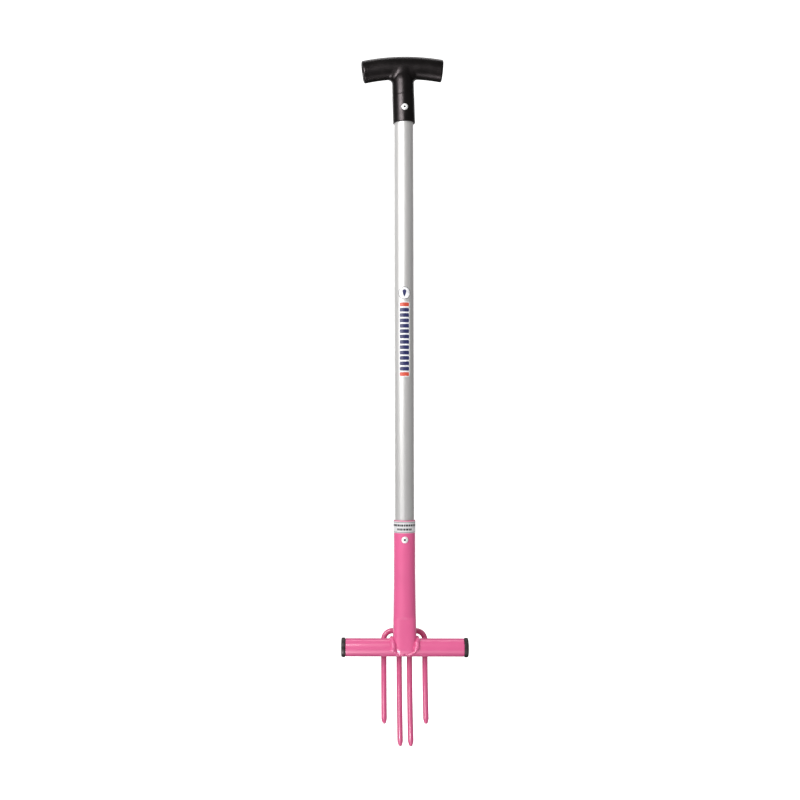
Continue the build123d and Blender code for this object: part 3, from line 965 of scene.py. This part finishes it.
def make_lights():
    """Softboxes and a fill, strips that show only in reflections, and a white room dimmer in reflections."""
    add_softbox("key_softbox", (-1.02, -1.35, 1.0), (0, 0, 0.95), (1.15, 1.2), 21)
    add_softbox("top_softbox", (0, 0.42, 1.7), (0, 0, 0.5), (1.3, 0.35), 4)
    add_softbox("low_bounce", (-0.1, -0.57, -0.67), (0, 0, 0), (1.3, 0.5), 2.0)
    fill = add_softbox("soft_fill", (-1.02, -1.35, 1.33), (0, 0, 1.0), (1.4, 1.85), 12)
    fill.visible_glossy = False
    for lamp in (
        add_softbox("grip_strip", (-0.5, -1.0, 0.98), (0, 0, 0.86), (0.7, 0.14), 8),
        add_softbox("left_rim_strip", (-0.72, 1.15, 0.7), (0, 0, 0.45), (0.5, 1.9), 6),
        add_softbox("right_rim_strip", (0.75, 1.15, 0.7), (0, 0, 0.45), (0.4, 1.9), 3.5),
        add_softbox("tine_strip", (-0.43, -0.57, -0.64), (0, 0, -0.09), (0.24, 0.7), 11),
    ):
        lamp.visible_diffuse = False
    world = bpy.data.worlds.new("studio_room")
    world.use_nodes = True
    nodes, links = world.node_tree.nodes, world.node_tree.links
    nodes["Background"].inputs["Color"].default_value = (1, 1, 1, 1)
    path = nodes.new("ShaderNodeLightPath")
    level = nodes.new("ShaderNodeMapRange")
    level.inputs["To Min"].default_value = ROOM_LIGHT
    level.inputs["To Max"].default_value = ROOM_REFLECTION
    links.new(path.outputs["Is Glossy Ray"], level.inputs["Value"])
    links.new(level.outputs["Result"], nodes["Background"].inputs["Strength"])
    bpy.context.scene.world = world
    bpy.context.scene.view_settings.view_transform = "Standard"


CAMERA_PLACE = (-0.0601, -1.622, 0.2982)
CAMERA_TURN = math.radians(0.72)
CAMERA_RISE = math.radians(2.13)
CAMERA_SHIFT = 0.0636


def make_camera():
    """A 50 mm view from a little left of the tool and a little below its middle, shifted to centre it."""
    camera_data = bpy.data.cameras.new("camera")
    camera_data.sensor_width = 36
    camera_data.lens = 50
    camera_data.shift_x = CAMERA_SHIFT
    camera = bpy.data.objects.new("camera", camera_data)
    turn = Matrix.Rotation(CAMERA_TURN, 4, "Z")
    rise = Matrix.Rotation(math.radians(90) + CAMERA_RISE, 4, "X")
    camera.matrix_world = Matrix.Translation(CAMERA_PLACE) @ turn @ rise
    bpy.context.scene.collection.objects.link(camera)
    bpy.context.scene.camera = camera


# ---------------------------------------------------------------- the tool
make_camera()
make_handle()
make_shaft()
make_foot_bar()
make_end_cap("end_cap_left", -1)
make_end_cap("end_cap_right", 1)
make_socket_tube()
make_bow("outer_tine_rod", "outer_tine_bow", 30 * MM, 22.6 * MM, 12.5 * MM, OUTER_TIP_DROP, 17.02 * MM)
make_bow("inner_tine_rod", "inner_tine_bow", 7.5 * MM, 7.5 * MM, 7.5 * MM, INNER_TIP_DROP, 18.64 * MM)
weld_chance = np.random.default_rng(11)
make_socket_weld("socket_weld_left", -1, weld_chance)
make_socket_weld("socket_weld_right", 1, weld_chance)
make_leg_welds("outer_tine_weld", 30 * MM, BAR_RADIUS + 0.6 * MM, 0, 2.2 * MM, weld_chance)
make_leg_welds("inner_tine_weld", 7.5 * MM, BAR_RADIUS + 2.0 * MM, -12 * MM, 1.9 * MM, weld_chance)
make_arch_weld(weld_chance)
make_rivet("handle_rivet", middle("handle_rivet", 2), STEM_RADIUS, HANDLE_TWIST)
make_rivet("socket_rivet", middle("socket_rivet", 2), SOCKET_RADIUS, 0)
make_decal()
make_label()
make_backdrop()
make_lights()
